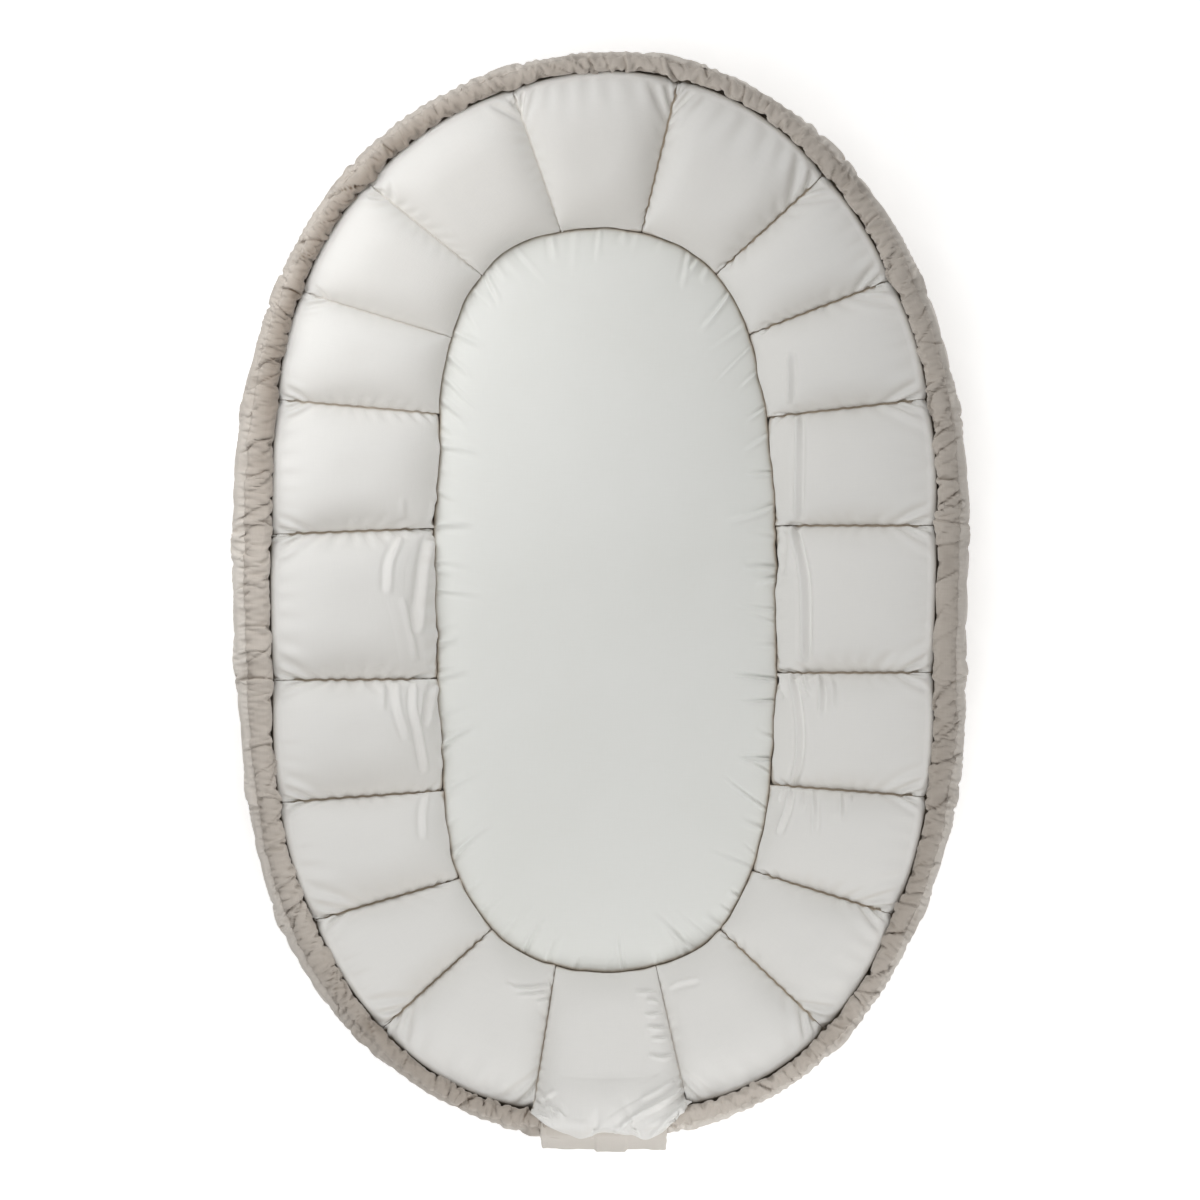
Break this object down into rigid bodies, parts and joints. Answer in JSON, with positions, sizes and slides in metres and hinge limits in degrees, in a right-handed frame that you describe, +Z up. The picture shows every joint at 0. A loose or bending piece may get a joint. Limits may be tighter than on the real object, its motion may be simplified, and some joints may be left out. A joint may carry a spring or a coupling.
{
  "type": "infant lounger",
  "caption": "Oval padded infant lounger: quilted wall drawn up by a rim cord round a loose oval mattress, with a cord lock behind a foot flap.",
  "frame": {"origin": "middle of the oval, on the underside of the base panel", "axes": "+Y towards the head end, +X to the right as seen from above with the head end at the top, +Z up"},
  "size_m": [0.6075, 0.915, 0.1298],
  "materials": {
    "cream_cotton": "soft plain-woven cotton, washed, with fine wrinkles along its seams",
    "beige_cotton": "plain-woven cotton, gathered at the rim",
    "fibre_filling": "lofty polyester fibre batt",
    "drawstring_cord": "braided cotton cord",
    "lock_plastic": "fine matt moulded surface",
    "spring_steel": "bare drawn wire"
  },
  "bodies": {
    "nest": {"base_panel": "beige_cotton", "floor_wadding": "fibre_filling", "floor_lining": "cream_cotton", "wall_lining": "cream_cotton", "outer_shell": "beige_cotton", "rim_tunnel": "beige_cotton", "drawstring": "drawstring_cord", "wall_fill_01": "fibre_filling", "wall_fill_02": "fibre_filling", "wall_fill_03": "fibre_filling", "wall_fill_04": "fibre_filling", "wall_fill_05": "fibre_filling", "wall_fill_06": "fibre_filling", "wall_fill_07": "fibre_filling", "wall_fill_08": "fibre_filling", "wall_fill_09": "fibre_filling", "wall_fill_10": "fibre_filling", "wall_fill_11": "fibre_filling", "wall_fill_12": "fibre_filling", "wall_fill_13": "fibre_filling", "wall_fill_14": "fibre_filling", "wall_fill_15": "fibre_filling", "wall_fill_16": "fibre_filling", "wall_fill_17": "fibre_filling", "wall_fill_18": "fibre_filling", "wall_fill_19": "fibre_filling", "wall_fill_20": "fibre_filling"},
    "mattress": {"mattress_cover": "cream_cotton", "mattress_core": "fibre_filling"},
    "flap": {"foot_flap": "beige_cotton"},
    "cord_lock": {"lock_body": "lock_plastic", "lock_spring": "spring_steel"},
    "lock_plunger": {"lock_plunger": "lock_plastic"}
  },
  "joints": [
    {"name": "mattress_lift", "type": "slide", "parent": "nest", "child": "mattress", "axis": [0, 0, 1], "range_m": [0, 0.15]},
    {"name": "flap_lift", "type": "hinge", "parent": "nest", "child": "flap", "pos_m": [0.003, -0.4426, 0.11], "axis": [-1, 0, 0], "range_deg": [0, 95]},
    {"name": "lock_slide", "type": "slide", "parent": "nest", "child": "cord_lock", "axis": [0, 0, -1], "range_m": [0, 0.012]},
    {"name": "lock_press", "type": "slide", "parent": "cord_lock", "child": "lock_plunger", "axis": [-1, 0, 0], "range_m": [0, 0.0034], "stiffness_N_per_m": 300, "springref_m": -0.003, "deforming": ["lock_spring"]}
  ]
}
